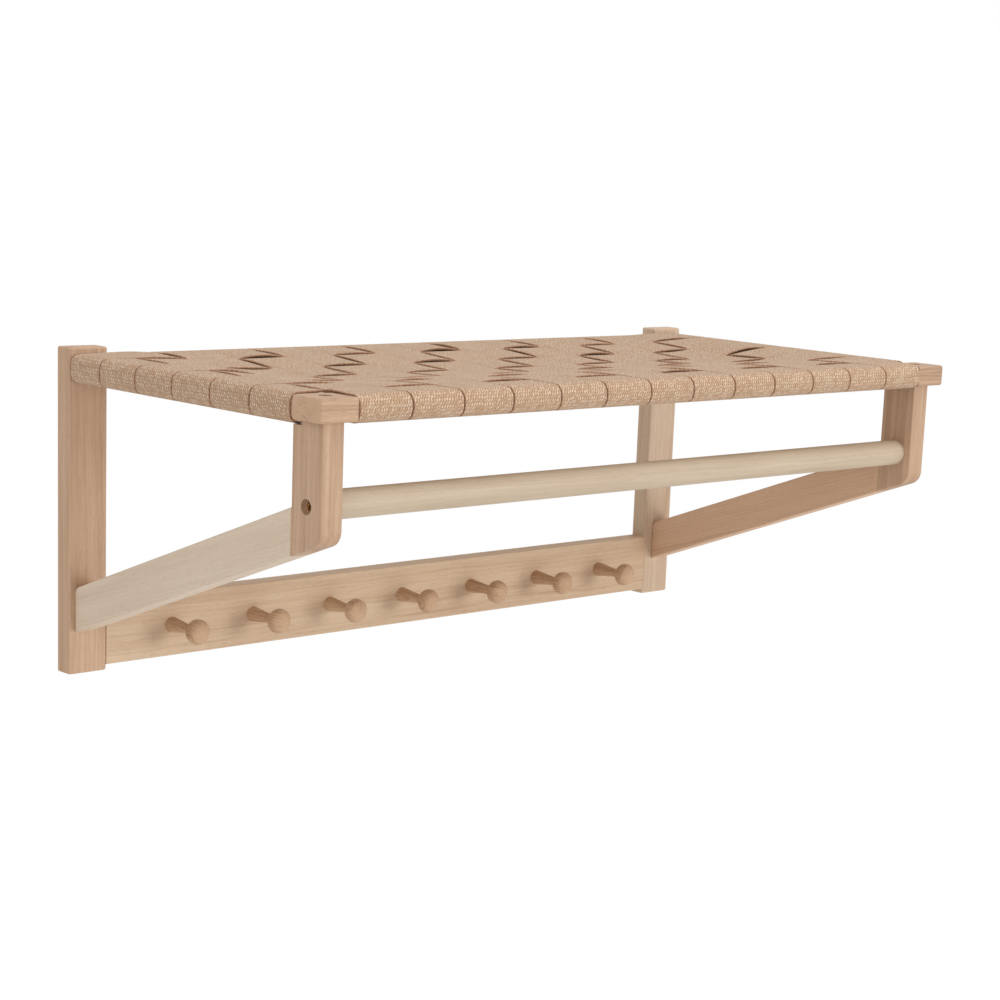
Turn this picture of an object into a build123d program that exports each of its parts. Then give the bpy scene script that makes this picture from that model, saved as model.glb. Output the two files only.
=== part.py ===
from build123d import *
import math
import os

# Wall rack: two uprights, a peg rail, a shelf of woven webbing on four rails, and a hanging rod
# carried by two legs that slanting braces hold. Millimetres.
# X runs along the wall with +X to the right, Y = 0 is the wall and -Y points into the room, Z is up.
# The origin is midway between the two keyholes that the rack hangs from, in the wall plane.

# Uprights
posts_outer_width = 792.0
post_width = 40.0
board_thickness = 20.0
post_height = 298.0
keyhole_height = 240.0
post_ease = 2.0

# Peg rail and pegs
peg_rail_lift = 5.0
peg_rail_height = 60.0
peg_count = 7
peg_pitch = 94.5
peg_base_diameter = 14.6
peg_neck_diameter = 9.0
peg_head_diameter = 24.0
peg_projection = 49.5
peg_neck_at = 30.0
peg_head_widest_at = 41.5
peg_tenon_diameter = 10.0
peg_tenon_length = 14.0

# Shelf rails, heights above the foot of the uprights
shelf_top = 291.5               # front rail's top
front_rail_height = 20.0
side_rail_height = 22.0
back_rail_height = 20.0
side_rail_drop = 1.0            # side rails' tops, below the front rail's
back_rail_drop = 3.0            # back rail's top, below the front rail's
front_rail_length = 800.0
front_rail_depth = 37.0
front_rail_nose = 8.5           # under the webbing
front_end_nose = 2.5            # on the bare ends
front_rail_covered = 362.0      # how far out from the middle the rail is rounded for the webbing
front_rail_reach = 363.0        # from the uprights' front face to the front rail's front
side_rail_width = 31.0
side_rail_inset = 2.0           # side rail's outer face, in from the uprights' outer face
side_rail_nose = 7.0
back_rail_depth = 17.0
back_rail_setback = 0.7
back_rail_nose = 4.0
inner_edge_ease = 1.5

# Webbing
web_thickness = 1.8
web_gap = 1.6                   # between neighbouring straps
web_level_gap = 0.15            # between a strap that passes over and the one under it
web_side_clearance = 0.4        # between the outer cross straps and the uprights
long_strap_count = 6
long_pitch = 54.1
long_front_gap = 9.0            # between the front rail and the first long strap
cross_strap_count = 13
web_end_height = 13.0           # where a strap's end stops, up the rail's inner face
web_lap = 8.0                   # stretch of the rail's top where the strap's deck and wrap join
web_step_clearance = 0.2        # between a strap's upright step and the straps beside it
web_sag = 8.5                   # most that the woven deck hangs below a straight line between rails
web_sag_run = 100.0             # distance from a side rail over which the sag builds up

# Legs, braces and rod, heights above the foot of the uprights
leg_outer_x = 390.0
bracket_thickness = 22.0
leg_depth = 39.0
leg_front_setback = 9.5         # behind the front rail's front
leg_corner_radius = 15.0
leg_web_relief = 0.3            # below the webbing on the side rail
brace_bottom_at_post = 39.5
brace_height = 40.7             # measured upright
brace_rise = 0.3775             # rise for each millimetre of reach
brace_corner_radius = 7.0
edge_ease = 1.5
rod_diameter = 25.0
rod_height = 201.6

# Dowels
dowel_diameter = 8.0
dowel_length = 36.0
thin_dowel_diameter = 6.0
thin_dowel_length = 28.0
dowel_chamfer = 1.0
peg_rail_dowel_spread = 16.0    # above and below the peg rail's middle
brace_dowel_spread = 10.0       # above and below the brace's middle
back_rail_dowel_drop = 4.0      # below the rail's middle
corner_dowel_shift = 6.0        # dowel's middle, behind the front rail's back
corner_dowel_lift = 1.0         # above the side rail's middle
corner_dowel_insets = (8.0, 9.0)    # from the side rail's outer and inner faces

# Screws
rod_screw_bore = 13.0
rod_screw_bore_depth = 5.0
rail_screw_bore = 12.0
rail_screw_bore_depth = 6.0
rail_screw_forward = 8.0        # ahead of the leg's middle
joint_screw_sink = 1.5          # countersunk heads lie this far below the wood's face
side_rail_screw_inset = 8.5     # from the side rail's outer and inner faces
side_rail_screw_lift = 5.5      # above the side rail's middle
brace_screw_rise = 20.0         # above the brace's lower corner
screw_point_radius = 0.2

# Hanger plates with their keyholes
plate_width = 18.0
plate_height = 56.0
plate_thickness = 1.6
plate_corner_radius = 3.0
plate_screw_inset = 7.0
plate_hole_radius = 2.1
plate_hole_mouth = 4.0
keyhole_entry_radius = 5.0
keyhole_slot_radius = 2.4
keyhole_slot_rise = 10.0
keyhole_pocket_depth = 9.0
keyhole_pocket_margin = 1.0

# Staples
staple_crown = 10.0
staple_wire = 0.8
staple_leg = 5.0
staple_below_end = 5.0          # crown's distance from the strap's end
staples_per_end = 3

# Worked out from the above
foot = -keyhole_height
post_front = -board_thickness
post_inner_x = posts_outer_width / 2 - post_width
post_centre_x = posts_outer_width / 2 - post_width / 2
front_top = foot + shelf_top
front_bottom = front_top - front_rail_height
side_top = front_top - side_rail_drop
side_bottom = side_top - side_rail_height
side_mid_z = (side_bottom + side_top) / 2
back_top = front_top - back_rail_drop
back_bottom = back_top - back_rail_height
back_mid_z = (back_bottom + back_top) / 2
front_rail_front = post_front - front_rail_reach
front_rail_back = front_rail_front + front_rail_depth
side_outer_x = posts_outer_width / 2 - side_rail_inset
side_inner_x = side_outer_x - side_rail_width
back_rail_front = post_front + back_rail_setback
back_rail_back = back_rail_front + back_rail_depth
leg_front = front_rail_front + leg_front_setback
leg_back = leg_front + leg_depth
leg_inner_x = leg_outer_x - bracket_thickness
leg_middle_x = leg_outer_x - bracket_thickness / 2
leg_middle_y = (leg_front + leg_back) / 2
rod_z = foot + rod_height
peg_z = foot + peg_rail_lift + peg_rail_height / 2
long_zone_front = front_rail_back + long_front_gap
long_zone_back = post_front - web_gap
long_width = long_pitch - web_gap
cross_zone = 2 * (post_inner_x - web_side_clearance)
cross_pitch = (cross_zone + web_gap) / cross_strap_count
cross_width = cross_pitch - web_gap
over_level = front_top
under_level = front_top - web_thickness - web_level_gap


def block(low, high):
    """A box between two opposite corners."""
    size = [b - a for a, b in zip(low, high)]
    middle = [(a + b) / 2 for a, b in zip(low, high)]
    return Pos(*middle) * Box(*size)


def rod_along(axis, centre, radius, length):
    """A cylinder of the given length, centred on a point, along "X", "Y" or "Z"."""
    turn = {"X": Rot(0, 90, 0), "Y": Rot(90, 0, 0), "Z": Rot(0, 0, 0)}[axis]
    return Pos(*centre) * turn * Cylinder(radius, length)


def mirrored(shape):
    """The same piece on the other side of the rack."""
    return shape.mirror(Plane.YZ)


# ---- uprights -------------------------------------------------------------------------------

def post():
    """Left upright, eased on every edge."""
    x0 = -posts_outer_width / 2
    body = block((x0, post_front, foot), (x0 + post_width, 0, foot + post_height))
    return fillet(body.edges(), post_ease)


def hanger_plate():
    """Flat steel keyhole plate, flush in the back of the left upright."""
    x = -post_centre_x
    through = 3 * plate_thickness
    outline = Pos(x, 0, 0) * block(
        (-plate_width / 2, -plate_thickness, -plate_height / 2),
        (plate_width / 2, 0, plate_height / 2),
    )
    plate = fillet(outline.edges().filter_by(Axis.Y), plate_corner_radius)
    entry = rod_along("Y", (x, 0, 0), keyhole_entry_radius, through)
    slot = Pos(x, 0, keyhole_slot_rise / 2) * Box(
        2 * keyhole_slot_radius, through, keyhole_slot_rise
    )
    slot_end = rod_along("Y", (x, 0, keyhole_slot_rise), keyhole_slot_radius, through)
    plate = plate - entry - slot - slot_end
    for z in plate_screw_heights():
        plate = plate - countersink((x, 0, z), plate_hole_radius, plate_hole_mouth, through)
    return plate


def plate_screw_heights():
    height = plate_height / 2 - plate_screw_inset
    return [-height, height]


def plate_pocket():
    """The recess for the left hanger plate, deeper behind its keyhole for the screw's head."""
    x = -post_centre_x
    seat = Pos(x, 0, 0) * block(
        (-plate_width / 2, -plate_thickness, -plate_height / 2),
        (plate_width / 2, plate_thickness, plate_height / 2),
    )
    seat = fillet(seat.edges().filter_by(Axis.Y), plate_corner_radius)
    half_width = keyhole_entry_radius + keyhole_pocket_margin
    deep = Pos(x, 0, 0) * block(
        (-half_width, -keyhole_pocket_depth, -half_width),
        (half_width, 0, keyhole_slot_rise + keyhole_entry_radius),
    )
    return seat + deep


# ---- screws, dowels and staples --------------------------------------------------------------

def countersink(at, shank_radius, head_radius, depth):
    """Cutter for a countersunk hole that goes into -Y from a point on the back."""
    cone_depth = head_radius - shank_radius
    cone = Pos(at[0], at[1] - cone_depth / 2, at[2]) * Rot(-90, 0, 0) * Cone(
        shank_radius, head_radius, cone_depth
    )
    shank = rod_along("Y", (at[0], at[1] - depth / 2, at[2]), shank_radius, depth)
    return cone + shank


def cross_recess(head_radius, depth):
    """Cutter for a cross recess in a screw's head that faces +Z at the origin."""
    bar = Box(head_radius * 1.1, head_radius * 0.3, 2 * depth)
    return bar + Rot(0, 0, 90) * bar


def flat_head_screw(length, shank_radius, head_radius):
    """Countersunk wood screw that points along -Z, the top of its head at the origin."""
    recess_depth = (head_radius - shank_radius) * 0.8
    return screw_hole(length, shank_radius, head_radius) - cross_recess(head_radius, recess_depth)


def cap_screw(length, shank_radius, head_radius, head_depth, socket_radius):
    """Connector screw with a low round head and a hexagon socket, pointing along -Z."""
    head = Pos(0, 0, -head_depth / 2) * Cylinder(head_radius, head_depth)
    head = fillet(head.edges().group_by(Axis.Z)[-1], 0.6)
    shank = Pos(0, 0, -(head_depth + length) / 2) * Cylinder(shank_radius, length - head_depth)
    socket = Pos(0, 0, -head_depth * 0.7) * extrude(RegularPolygon(socket_radius, 6), head_depth)
    return head + shank - socket


def screw_hole(length, shank_radius, head_radius):
    """The room that a countersunk screw takes up, its mouth open to +Z at the origin."""
    cone_depth = head_radius - shank_radius
    cone = Pos(0, 0, -cone_depth / 2) * Cone(shank_radius, head_radius, cone_depth)
    shank = Pos(0, 0, -length / 2) * Cylinder(shank_radius, length)
    tip = Pos(0, 0, -length - shank_radius) * Cone(
        screw_point_radius, shank_radius, 2 * shank_radius
    )
    return cone + shank + tip


def cap_screw_hole(length, shank_radius, bore_radius, sink, head_radius, head_depth):
    """Cutter for cap_screw whose head lies `sink` below the mouth of a round bore."""
    mouth = Pos(0, 0, sink / 2) * Cylinder(bore_radius, sink)
    seat = Pos(0, 0, -head_depth / 2) * Cylinder(head_radius, head_depth)
    shank = Pos(0, 0, -(head_depth + length) / 2) * Cylinder(shank_radius, length - head_depth)
    return mouth + seat + shank


facing_wall = Rot(-90, 0, 0)       # turns a screw's head to face +Y
facing_left = Rot(0, -90, 0)       # turns a screw's head to face -X

thin_dowel = (thin_dowel_diameter, thin_dowel_length)

# Countersunk screws: length, shank radius, head radius
hanger_screw = (14.0, 1.9, 3.8)
joint_screw = (52.0, 2.4, 4.6)

# Connector screws: length, shank radius, head radius, head depth, socket radius
rod_screw = (45.0, 3.0, 5.6, 3.4, 2.6)
top_screw = (50.0, 3.0, 5.4, 3.4, 2.4)


def hanger_screw_places():
    return [Pos(-post_centre_x, 0, z) * facing_wall for z in plate_screw_heights()]


def side_rail_screw_places():
    z = side_mid_z + side_rail_screw_lift
    return [
        Pos(x, -joint_screw_sink, z) * facing_wall
        for x in (-side_outer_x + side_rail_screw_inset, -side_inner_x - side_rail_screw_inset)
    ]


def brace_screw_places():
    z = foot + brace_bottom_at_post + brace_screw_rise
    return [Pos(-leg_middle_x, -joint_screw_sink, z) * facing_wall]


def sunk_screw_hole():
    """Cutter for a joint screw, with the short mouth above its head."""
    sink = 2 * joint_screw_sink
    return screw_hole(*joint_screw) + Pos(0, 0, sink / 2) * Cylinder(joint_screw[2], sink)


def rod_screw_place():
    return Pos(-leg_outer_x + rod_screw_bore_depth, leg_middle_y, rod_z) * facing_left


def top_screw_place():
    return Pos(-leg_middle_x, leg_middle_y - rail_screw_forward, front_top - rail_screw_bore_depth)


def dowel_hole(axis, centre, diameter=dowel_diameter, length=dowel_length):
    return rod_along(axis, centre, diameter / 2, length)


def dowel(axis, centre, diameter=dowel_diameter, length=dowel_length):
    """Beech dowel with chamfered ends."""
    pin = dowel_hole(axis, centre, diameter, length)
    return chamfer(pin.edges().filter_by(GeomType.CIRCLE), dowel_chamfer)


def peg_rail_dowel_centres():
    y = post_front / 2
    return [
        (-post_inner_x, y, peg_z + side * peg_rail_dowel_spread)
        for side in (-1, 1)
    ]


def back_rail_dowel_centres():
    y = (back_rail_front + back_rail_back) / 2
    return [(-post_inner_x, y, back_mid_z - back_rail_dowel_drop)]


def corner_dowel_centres():
    outer, inner = corner_dowel_insets
    y = front_rail_back + corner_dowel_shift
    return [(x, y, side_mid_z + corner_dowel_lift) for x in (-side_outer_x + outer, -side_inner_x - inner)]


def brace_dowel_centres():
    middle = foot + brace_bottom_at_post + brace_rise * (post_front - leg_back) + brace_height / 2
    return [
        (-leg_middle_x, leg_back, middle + side * brace_dowel_spread)
        for side in (-1, 1)
    ]


# ---- peg rail and pegs -------------------------------------------------------------------------

def peg_places():
    first = -peg_pitch * (peg_count - 1) / 2
    return [first + n * peg_pitch for n in range(peg_count)]


def peg_rail():
    low = foot + peg_rail_lift
    body = block((-post_inner_x, post_front, low), (post_inner_x, 0, low + peg_rail_height))
    body = fillet(body.edges().filter_by(Axis.X), edge_ease)
    tenon_middle_y = post_front + peg_tenon_length / 2
    for x in peg_places():
        centre = (x, tenon_middle_y, peg_z)
        body -= rod_along("Y", centre, peg_tenon_diameter / 2, peg_tenon_length)
    return body


def peg(x):
    """Turned peg: glued tenon, tapered shank, narrow neck and domed mushroom head."""
    base = peg_base_diameter / 2
    neck = peg_neck_diameter / 2
    head = peg_head_diameter / 2
    shank = Spline(
        (base, 0), ((base + neck) / 2 - 0.2, peg_neck_at * 0.5), (neck, peg_neck_at),
        tangents=((-0.05, 1), (0, 1)),
    )
    flare = Spline(
        (neck, peg_neck_at), (head * 0.75, peg_neck_at + 5.6), (head, peg_head_widest_at),
        tangents=((0, 1), (0, 1)),
    )
    dome = Spline(
        (head, peg_head_widest_at), (head * 0.74, peg_projection - 2.3), (0, peg_projection),
        tangents=((0, 1), (-1, 0)),
    )
    tenon = Polyline(
        (0, peg_projection), (0, -peg_tenon_length), (peg_tenon_diameter / 2, -peg_tenon_length),
        (peg_tenon_diameter / 2, 0), (base, 0),
    )
    profile = make_face(shank + flare + dome + tenon)
    turned = revolve(profile, Axis.Y)
    return Pos(x, post_front, peg_z) * Rot(180, 0, 0) * turned


# ---- brackets ----------------------------------------------------------------------------------

def bracket():
    """Left leg and brace as one glued blank, in the plane of the leg."""
    reach_back = post_front - leg_back
    reach_front = post_front - leg_front
    brace_low = foot + brace_bottom_at_post
    slope_at_back = brace_low + brace_rise * reach_back
    slope_at_front = brace_low + brace_rise * reach_front
    leg_top = side_bottom - web_thickness - leg_web_relief
    corners = [
        (post_front, brace_low),
        (leg_front, slope_at_front),
        (leg_front, front_bottom),
        (front_rail_back, front_bottom),
        (front_rail_back, leg_top),
        (leg_back, leg_top),
        (leg_back, slope_at_back + brace_height),
        (post_front, brace_low + brace_height),
    ]
    outline = make_face(Plane.YZ * Polyline(*corners, close=True))
    outline = Pos(-leg_outer_x, 0, 0) * outline
    outline = rounded_corner(outline, (leg_front, slope_at_front), leg_corner_radius)
    outline = rounded_corner(outline, (post_front, brace_low + brace_height), brace_corner_radius)
    blank = extrude(outline, bracket_thickness, dir=(1, 0, 0))
    faces = blank.faces().sort_by(Axis.X)
    soft = [
        edge
        for face in (faces[0], faces[-1])
        for edge in face.edges()
        if edge.center().Z < leg_top - 1 and edge.center().Y < post_front - 1
    ]
    return fillet(soft, edge_ease)


def rounded_corner(outline, corner, radius):
    """The outline with its corner at (y, z) rounded."""
    nearest = outline.vertices().sort_by_distance((-leg_outer_x, *corner))[0]
    return fillet([nearest], radius)


def leg_and_brace():
    """The bracket cut at the leg's back, as the leg and the brace."""
    blank = bracket()
    far = 2 * post_height
    leg_zone = block((-far, leg_front - far, -far), (0, leg_back, far))
    leg = blank & leg_zone
    brace = blank - leg_zone
    return leg, brace


# ---- shelf rails -------------------------------------------------------------------------------

def rounded_profile(width, height, outer_radius, inner_radius, grow=0.0):
    """Rail section, its outer side at -x, with a larger radius there; `grow` offsets it outwards."""
    section = Rectangle(width + 2 * grow, height + 2 * grow)
    outer = section.vertices().group_by(Axis.X)[0]
    section = fillet(outer, outer_radius + grow)
    inner = section.vertices().group_by(Axis.X)[-1]
    return fillet(inner, inner_radius + grow)


front_section_plane = Plane(origin=(0, 0, 0), x_dir=(0, 1, 0), z_dir=(1, 0, 0))
side_section_plane = Plane(origin=(0, 0, 0), x_dir=(1, 0, 0), z_dir=(0, -1, 0))


def front_rail():
    """Rail that is well rounded under the webbing and nearly square at its bare ends."""
    covered = front_rail_section(front_rail_nose)
    bare = Pos(-front_rail_length / 2, 0, 0) * front_rail_section(front_end_nose)
    left_end = extrude(bare, front_rail_length / 2 - front_rail_covered, dir=(1, 0, 0))
    outer_edges = left_end.faces().sort_by(Axis.X)[0].edges()
    left_end = fillet(outer_edges, inner_edge_ease)
    body = extrude(covered, front_rail_covered, dir=(1, 0, 0), both=True)
    return body + left_end + mirrored(left_end)


def front_rail_section(nose):
    section = rounded_profile(front_rail_depth, front_rail_height, nose, inner_edge_ease)
    middle_y = (front_rail_front + front_rail_back) / 2
    return front_section_plane * (Pos(middle_y, (front_bottom + front_top) / 2) * section)


def back_rail():
    section = rounded_profile(back_rail_depth, back_rail_height, back_rail_nose, back_rail_nose)
    middle_y = (back_rail_front + back_rail_back) / 2
    flat = front_section_plane * (Pos(middle_y, back_mid_z) * section)
    return extrude(flat, post_inner_x, dir=(1, 0, 0), both=True)


def side_rail():
    """Left side rail, from the upright to the back of the front rail."""
    section = rounded_profile(side_rail_width, side_rail_height, side_rail_nose, inner_edge_ease)
    middle_x = -(side_outer_x + side_inner_x) / 2
    flat = side_section_plane * (Pos(middle_x, side_mid_z) * section)
    body = extrude(flat, post_front - front_rail_back, dir=(0, -1, 0))
    return Pos(0, post_front, 0) * body


# ---- webbing -----------------------------------------------------------------------------------

def wrap_profile(width, height, outer_radius, inner_radius):
    """Strap section round a rail: over the top, round the outer side, under and up the inner side."""
    outside = rounded_profile(width, height, outer_radius, inner_radius, grow=web_thickness)
    inside = rounded_profile(width, height, outer_radius, inner_radius)
    ring = outside - inside
    open_low = -height / 2 + web_end_height
    open_left = width / 2 - inner_radius - web_thickness
    reach = height
    opening = Pos(open_left + reach / 2, open_low + reach / 2) * Rectangle(reach, reach)
    return ring - opening


def deck_profile(stretches):
    """Strap section between the rails, with an upright step from each level stretch to the next.
    Stretches are (low, high, level), the level being that of the strap's underside."""
    start, reached, before = stretches[0]
    lower = [(start, before)]
    upper = [(start, before + web_thickness)]
    for low, high, level in stretches[1:]:
        near = reached + web_step_clearance
        far = low - web_step_clearance
        under_step, top_step = (near, far) if level < before else (far, near)
        if level != before:
            lower += [(under_step, before), (under_step, level)]
            upper += [(top_step, before + web_thickness), (top_step, level + web_thickness)]
        reached, before = high, level
    lower += [(reached, before)]
    upper += [(reached, before + web_thickness)]
    return make_face(Polyline(*lower, *reversed(upper), close=True))


def deck_drop(x, y):
    """How far the woven deck lies below the front rail's top: level with a side rail beside it, and
    further in hanging between the front rail and the lower back rail."""
    reach = (y - front_rail_back) / (back_rail_front - front_rail_back)
    hang = back_rail_drop * reach + web_sag * math.sin(math.pi * reach) ** 2
    from_side = min(1.0, (side_inner_x - abs(x)) / web_sag_run)
    built_up = from_side ** 2 * (3 - 2 * from_side)
    return side_rail_drop + (hang - side_rail_drop) * built_up


def long_strap_y(row):
    """Front and back edges of long strap `row`, counted from 1 at the front. The uprights gather the
    last one to what is left of the side rails."""
    front = long_zone_front + (row - 1) * long_pitch
    return front, min(front + long_width, long_zone_back)


def cross_strap_x(column):
    """Left and right edges of cross strap `column`, counted from 1 at the left."""
    left = -cross_zone / 2 + (column - 1) * cross_pitch
    return left, left + cross_width


def long_on_top(row, column):
    return (row + column) % 2 == 1


def crossing_level(row, column, on_top):
    """Underside of a strap where long strap `row` and cross strap `column` cross."""
    x = sum(cross_strap_x(column)) / 2
    y = sum(long_strap_y(row)) / 2
    return (over_level if on_top else under_level) - deck_drop(x, y)


def long_strap(row):
    """Strap along the shelf, wrapped round both side rails."""
    crossings = [
        (*cross_strap_x(column), crossing_level(row, column, long_on_top(row, column)))
        for column in range(1, cross_strap_count + 1)
    ]
    deck = deck_profile(between_rails(
        (-side_inner_x - web_lap, side_top), crossings, (side_inner_x + web_lap, side_top)
    ))
    wrap = Pos(-(side_outer_x + side_inner_x) / 2, side_mid_z) * wrap_profile(
        side_rail_width, side_rail_height, side_rail_nose, inner_edge_ease
    )
    section = deck + wrap + wrap.mirror(Plane.YZ)
    front, back = long_strap_y(row)
    flat = Pos(0, back, 0) * (side_section_plane * section)
    return extrude(flat, back - front, dir=(0, -1, 0))


def between_rails(start, crossings, end):
    """The crossings with a level stretch on each rail, from (place, height) up to the first gap."""
    first_low = crossings[0][0]
    last_high = crossings[-1][1]
    return [
        (start[0], first_low - web_gap, start[1]),
        *crossings,
        (last_high + web_gap, end[0], end[1]),
    ]


def cross_strap(column):
    """Strap across the shelf, wrapped round the front and back rails."""
    crossings = [
        (*long_strap_y(row), crossing_level(row, column, not long_on_top(row, column)))
        for row in range(1, long_strap_count + 1)
    ]
    deck = deck_profile(between_rails(
        (front_rail_back - web_lap, front_top), crossings, (back_rail_front + web_lap, back_top)
    ))
    front_mid_z = (front_bottom + front_top) / 2
    front_wrap = Pos((front_rail_front + front_rail_back) / 2, front_mid_z) * wrap_profile(
        front_rail_depth, front_rail_height, front_rail_nose, inner_edge_ease
    )
    back_wrap = Pos((back_rail_front + back_rail_back) / 2, back_mid_z) * wrap_profile(
        back_rail_depth, back_rail_height, back_rail_nose, back_rail_nose
    ).mirror(Plane.YZ)
    section = deck + front_wrap + back_wrap
    left, right = cross_strap_x(column)
    flat = Pos(left, 0, 0) * (front_section_plane * section)
    return extrude(flat, right - left, dir=(1, 0, 0))


def staple_offsets(width):
    step = width / staples_per_end
    return [(n - (staples_per_end - 1) / 2) * step for n in range(staples_per_end)]


def staple_height(bottom):
    """Height of the staples on a rail, from the height of the rail's underside."""
    return bottom + web_end_height - staple_below_end


def staple(turn, at):
    """Wire staple: crown on the strap, two legs through it into the rail, driven along +Y."""
    crown = Pos(0, -staple_wire / 2, 0) * Box(staple_crown, staple_wire, staple_wire)
    legs = staple_legs()
    return Pos(*at) * turn * (crown + legs)


def staple_legs():
    reach = web_thickness + staple_leg
    leg = Box(staple_wire, reach, staple_wire)
    side = staple_crown / 2 - staple_wire / 2
    return Pos(-side, reach / 2, 0) * leg + Pos(side, reach / 2, 0) * leg


def staple_places_long():
    """Turn and place of each staple on the left side rail's inner face."""
    places = []
    z = staple_height(side_bottom)
    for row in range(1, long_strap_count + 1):
        front, back = long_strap_y(row)
        for offset in staple_offsets(back - front):
            at = (-side_inner_x + web_thickness, (front + back) / 2 + offset, z)
            places.append((Rot(0, 0, 90), at))
    return places


def staple_places_cross():
    """Turn and place of each staple on the front and back rails' inner faces."""
    places = []
    for column in range(1, cross_strap_count + 1):
        left, right = cross_strap_x(column)
        for offset in staple_offsets(cross_width):
            x = (left + right) / 2 + offset
            at_front = (x, front_rail_back + web_thickness, staple_height(front_bottom))
            at_back = (x, back_rail_front - web_thickness, staple_height(back_bottom))
            places.append((Rot(0, 0, 180), at_front))
            places.append((Rot(0, 0, 0), at_back))
    return places


# ---- build, cut the holes and write ------------------------------------------------------------

def all_staples(places):
    return [staple(turn, at) for turn, at in places]


def all_staple_legs(places):
    return [Pos(*at) * turn * staple_legs() for turn, at in places]


def both_sides(shapes):
    return [*shapes, *[mirrored(shape) for shape in shapes]]


parts = {}

post_cutters = [
    plate_pocket(),
    *[place * screw_hole(*hanger_screw) for place in hanger_screw_places()],
    *[place * sunk_screw_hole() for place in side_rail_screw_places() + brace_screw_places()],
    *[dowel_hole("X", centre) for centre in peg_rail_dowel_centres()],
    *[dowel_hole("X", centre, *thin_dowel) for centre in back_rail_dowel_centres()],
]
left_post = post() - post_cutters
parts["left_post"] = left_post
parts["right_post"] = mirrored(left_post)

left_plate = hanger_plate()
parts["left_hanger_plate"] = left_plate
parts["right_hanger_plate"] = mirrored(left_plate)

parts["peg_rail"] = peg_rail() - both_sides(
    [dowel_hole("X", centre) for centre in peg_rail_dowel_centres()]
)
for number, x in enumerate(peg_places(), start=1):
    parts[f"peg_{number}"] = peg(x)

rod_cutter = rod_screw_place() * cap_screw_hole(
    rod_screw[0], rod_screw[1], rod_screw_bore / 2, rod_screw_bore_depth + 1,
    rod_screw[2], rod_screw[3],
)
top_cutter = top_screw_place() * cap_screw_hole(
    top_screw[0], top_screw[1], rail_screw_bore / 2, rail_screw_bore_depth + 1,
    top_screw[2], top_screw[3],
)
brace_dowel_holes = [dowel_hole("Y", centre) for centre in brace_dowel_centres()]
brace_screw_holes = [place * screw_hole(*joint_screw) for place in brace_screw_places()]
left_leg, left_brace = leg_and_brace()
left_leg = left_leg - [rod_cutter, top_cutter, *brace_dowel_holes]
left_brace = left_brace - [*brace_dowel_holes, *brace_screw_holes]
parts["left_leg"] = left_leg
parts["right_leg"] = mirrored(left_leg)
parts["left_brace"] = left_brace
parts["right_brace"] = mirrored(left_brace)

hanging_rod = rod_along("X", (0, leg_middle_y, rod_z), rod_diameter / 2, 2 * leg_inner_x)
parts["hanging_rod"] = hanging_rod - both_sides([rod_cutter])

cross_places = staple_places_cross()
long_places = staple_places_long()
cross_legs = all_staple_legs(cross_places)
front_legs = cross_legs[0::2]
back_legs = cross_legs[1::2]
long_legs = all_staple_legs(long_places)

corner_holes = [dowel_hole("Y", centre, *thin_dowel) for centre in corner_dowel_centres()]
parts["front_rail"] = front_rail() - both_sides([top_cutter, *corner_holes]) - front_legs
parts["back_rail"] = back_rail() - both_sides(
    [dowel_hole("X", centre, *thin_dowel) for centre in back_rail_dowel_centres()]
) - back_legs
left_side_rail = side_rail() - [
    *corner_holes,
    *[place * screw_hole(*joint_screw) for place in side_rail_screw_places()],
    *long_legs,
]
parts["left_side_rail"] = left_side_rail
parts["right_side_rail"] = mirrored(left_side_rail)

for row in range(1, long_strap_count + 1):
    mine = long_legs[(row - 1) * staples_per_end:row * staples_per_end]
    parts[f"long_strap_{row}"] = long_strap(row) - both_sides(mine)
for column in range(1, cross_strap_count + 1):
    first = (column - 1) * staples_per_end * 2
    mine = cross_legs[first:first + 2 * staples_per_end]
    parts[f"cross_strap_{column:02d}"] = cross_strap(column) - mine

parts["hanger_screws"] = both_sides(
    [place * flat_head_screw(*hanger_screw) for place in hanger_screw_places()]
)
parts["side_rail_screws"] = both_sides(
    [place * flat_head_screw(*joint_screw) for place in side_rail_screw_places()]
)
parts["brace_screws"] = both_sides(
    [place * flat_head_screw(*joint_screw) for place in brace_screw_places()]
)
parts["rod_screws"] = both_sides([rod_screw_place() * cap_screw(*rod_screw)])
parts["front_rail_screws"] = both_sides([top_screw_place() * cap_screw(*top_screw)])
parts["peg_rail_dowels"] = both_sides([dowel("X", c) for c in peg_rail_dowel_centres()])
parts["back_rail_dowels"] = both_sides(
    [dowel("X", centre, *thin_dowel) for centre in back_rail_dowel_centres()]
)
parts["front_corner_dowels"] = both_sides(
    [dowel("Y", centre, *thin_dowel) for centre in corner_dowel_centres()]
)
parts["brace_dowels"] = both_sides([dowel("Y", c) for c in brace_dowel_centres()])
parts["cross_strap_staples"] = all_staples(cross_places)
parts["long_strap_staples"] = both_sides(all_staples(long_places))

os.makedirs("parts", exist_ok=True)
for name, shape in parts.items():
    if isinstance(shape, list):
        shape = Compound(children=shape)
    export_step(shape, f"parts/{name}.step")
    print(name, len(shape.solids()), round(shape.volume, 1))
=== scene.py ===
import math

import bpy
import numpy as np
from mathutils import Matrix, Vector


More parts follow.
